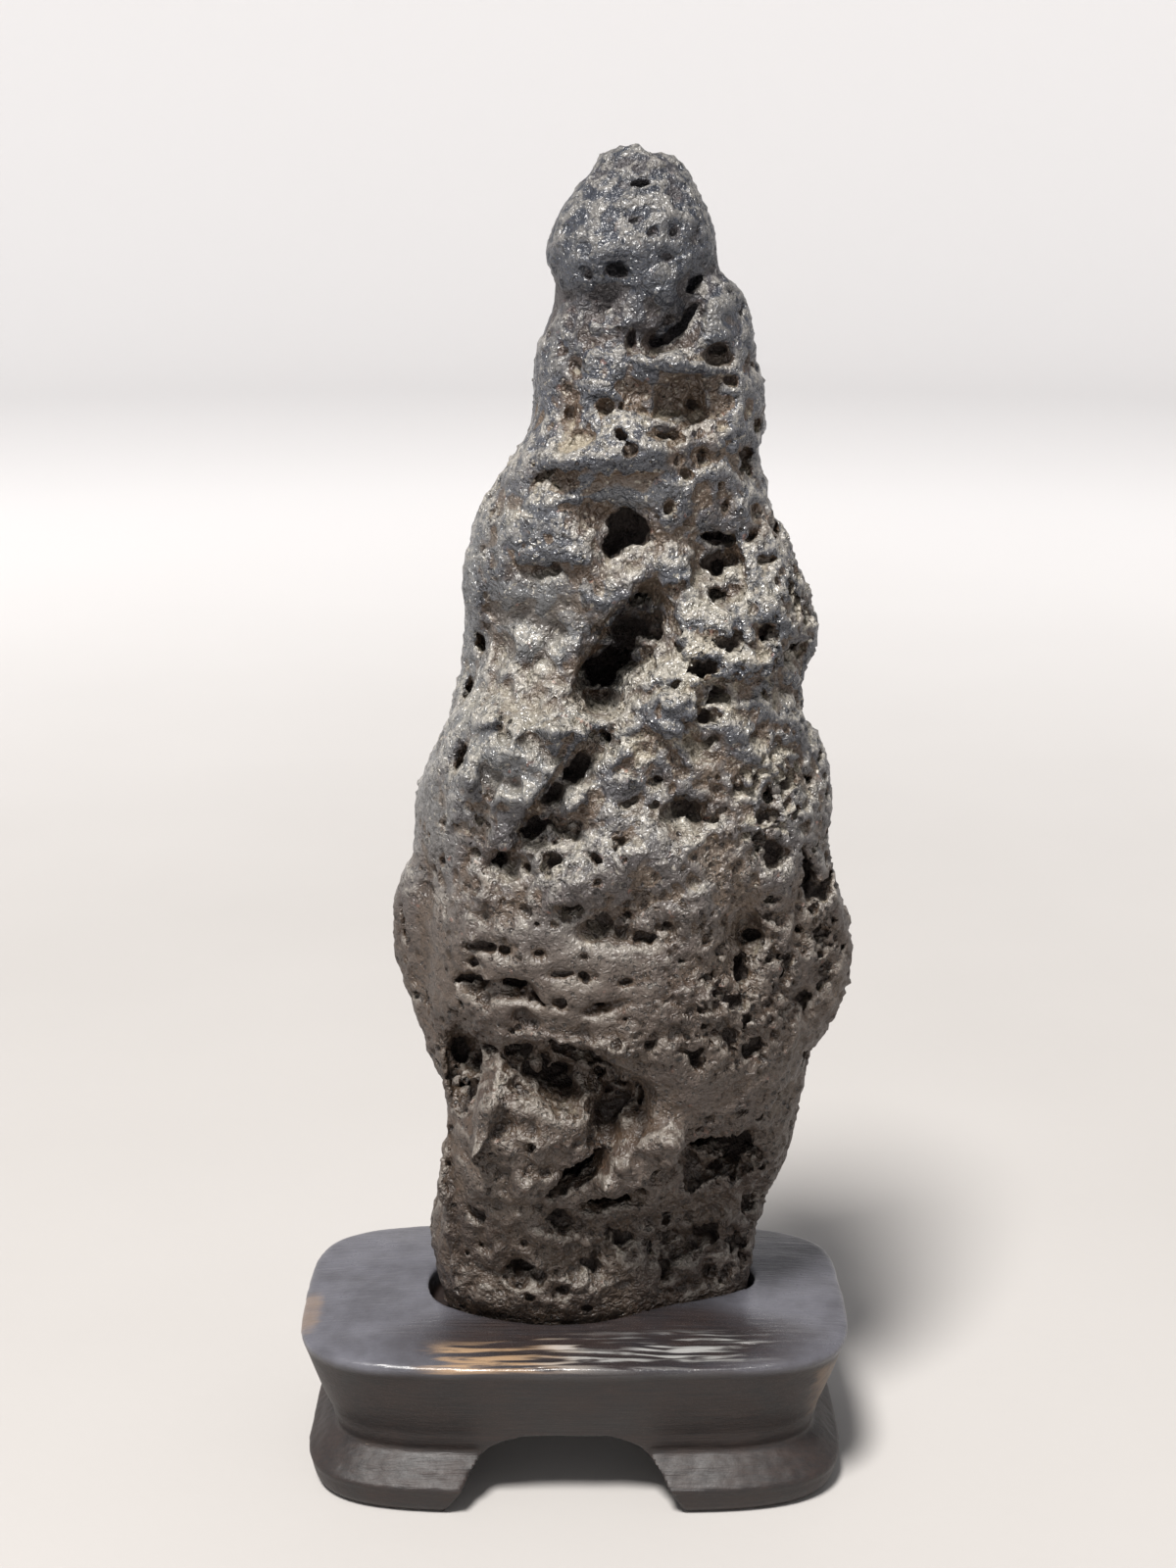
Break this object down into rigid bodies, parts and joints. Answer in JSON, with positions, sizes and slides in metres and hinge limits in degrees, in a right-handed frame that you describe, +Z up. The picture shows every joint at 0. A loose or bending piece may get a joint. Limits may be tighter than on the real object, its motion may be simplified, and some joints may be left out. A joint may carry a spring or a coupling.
{
  "type": "scholars rock",
  "caption": "Upright pitted lava stone, shaped like a mountain peak, standing in a low carved dark wooden stand with arched feet.",
  "frame": {"origin": "on the floor, under the middle of the stand", "axes": "+Z up along the rock, -Y towards the front of the stand, +X to the right as seen from the front"},
  "size_m": [0.0506, 0.0288, 0.119],
  "materials": {
    "lava_stone": "dark grey-brown vesicular lava, worn and slightly polished on its ridges, dusty tan in its hollows",
    "ebonised_wood": "hand-carved hardwood stained near black, satin, scratched and worn to brown along its front edge"
  },
  "bodies": {
    "root": {"rock": "lava_stone", "stand": "ebonised_wood"}
  },
  "joints": []
}
